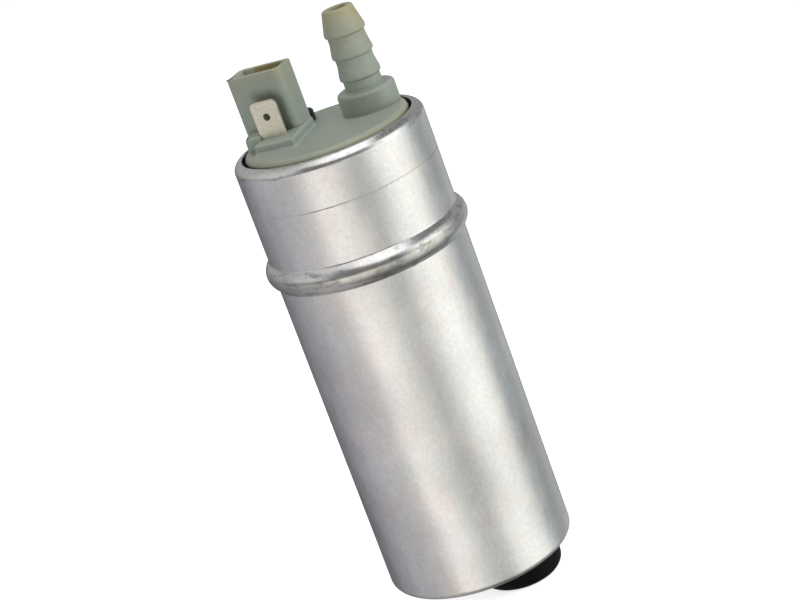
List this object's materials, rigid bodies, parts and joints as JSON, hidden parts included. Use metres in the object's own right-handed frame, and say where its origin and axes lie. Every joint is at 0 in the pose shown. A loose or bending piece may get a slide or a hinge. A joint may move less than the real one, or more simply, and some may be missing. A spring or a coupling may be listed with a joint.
{
  "type": "fuel pump",
  "caption": "Cylindrical in-tank electric fuel pump: aluminium can with a bead, moulded end cover with barbed hose outlet, connector socket and blade terminal, off-centre inlet sleeve.",
  "frame": {"origin": "on the can's axis, level with the lower end of the inlet sleeve", "axes": "+Z along the can's axis towards the hose outlet; +X towards the inlet, away from the connector; the connector socket's long side lies along X"},
  "size_m": [0.0462, 0.0462, 0.1353],
  "materials": {
    "can_aluminium": "satin",
    "cover_plastic": "matte, grey-green moulded",
    "black_rubber": "matte",
    "black_plastic": "matte",
    "tinned_steel": "satin, tinned",
    "socket_contact_metal": "dull",
    "valve_plastic": "matte",
    "valve_rubber": "matte",
    "valve_brass": "turned",
    "spring_steel": "drawn wire",
    "ball_steel": "polished",
    "carbon": "carbon, matte",
    "lead_copper": "braided copper",
    "coil_copper": "enamelled copper",
    "core_ferrite": "matte ferrite",
    "flux_steel": "zinc plated",
    "magnet_ferrite": "ground ferrite",
    "clip_steel": "spring steel",
    "shaft_steel": "ground",
    "lamination_steel": "laminated",
    "insulator_plastic": "moulded",
    "commutator_plastic": "moulded phenolic",
    "commutator_copper": "machined copper",
    "bearing_bronze": "sintered bronze",
    "casing_aluminium": "die cast",
    "rotor_steel": "sintered steel",
    "coupling_plastic": "moulded"
  },
  "bodies": {
    "housing": {"can": "can_aluminium", "end_cover": "cover_plastic", "cover_seal": "black_rubber", "blade_terminal": "tinned_steel", "socket_terminal": "socket_contact_metal", "check_valve_seat": "valve_brass", "check_valve_spring": "spring_steel", "relief_valve_seat": "valve_brass", "relief_valve_spring": "spring_steel", "relief_valve_cap": "black_plastic", "brush_spring_a": "spring_steel", "brush_spring_b": "spring_steel", "brush_lead_a": "lead_copper", "brush_lead_b": "lead_copper", "choke_core_a": "core_ferrite", "choke_core_b": "core_ferrite", "choke_coil_a": "coil_copper", "choke_coil_b": "coil_copper", "flux_ring": "flux_steel", "magnet_a": "magnet_ferrite", "magnet_b": "magnet_ferrite", "magnet_clip_a": "clip_steel", "magnet_clip_b": "clip_steel", "upper_bearing": "bearing_bronze", "lower_bearing": "bearing_bronze", "outlet_casing": "casing_aluminium", "rotor_housing": "casing_aluminium", "locating_pins": "shaft_steel", "inlet_casing": "casing_aluminium", "casing_o_ring": "black_rubber", "inlet_sleeve": "black_rubber"},
    "armature": {"motor_shaft": "shaft_steel", "armature_core": "lamination_steel", "armature_windings": "coil_copper", "upper_insulator": "insulator_plastic", "lower_insulator": "insulator_plastic", "commutator_base": "commutator_plastic", "commutator_segments": "commutator_copper", "upper_thrust_washer": "coupling_plastic", "lower_thrust_washer": "coupling_plastic", "drive_coupling": "coupling_plastic", "inner_rotor": "rotor_steel"},
    "outer_gear": {"outer_rotor": "rotor_steel"},
    "check_valve": {"check_valve_poppet": "valve_plastic", "check_valve_seal": "valve_rubber"},
    "relief_ball": {"relief_valve_ball": "ball_steel"},
    "front_brush": {"brush_a": "carbon"},
    "rear_brush": {"brush_b": "carbon"}
  },
  "joints": [
    {"name": "armature_spin", "type": "hinge", "parent": "housing", "child": "armature", "pos_m": [0, 0, 0], "axis": [0, 0, 1], "continuous": true},
    {"name": "outer_rotor_spin", "type": "hinge", "parent": "housing", "child": "outer_gear", "pos_m": [0, -0.00135, 0], "axis": [0, 0, 1], "continuous": true},
    {"name": "check_valve_lift", "type": "slide", "parent": "housing", "child": "check_valve", "axis": [0, 0, 1], "range_m": [0, 0.002], "stiffness_N_per_m": 40, "springref_m": -0.006, "deforming": ["check_valve_spring"]},
    {"name": "relief_valve_lift", "type": "slide", "parent": "housing", "child": "relief_ball", "axis": [0, 0, 1], "range_m": [0, 0.001], "stiffness_N_per_m": 1000, "springref_m": -0.0015, "deforming": ["relief_valve_spring"]},
    {"name": "front_brush_slide", "type": "slide", "parent": "housing", "child": "front_brush", "axis": [0, 0, 1], "range_m": [0, 0.0025], "stiffness_N_per_m": 250, "springref_m": -0.005, "deforming": ["brush_spring_a", "brush_lead_a"]},
    {"name": "rear_brush_slide", "type": "slide", "parent": "housing", "child": "rear_brush", "axis": [0, 0, 1], "range_m": [0, 0.0025], "stiffness_N_per_m": 250, "springref_m": -0.005, "deforming": ["brush_spring_b", "brush_lead_b"]}
  ],
  "couplings": [
    {"joint": "outer_rotor_spin", "follows": "armature_spin", "ratio": 0.85714}
  ]
}
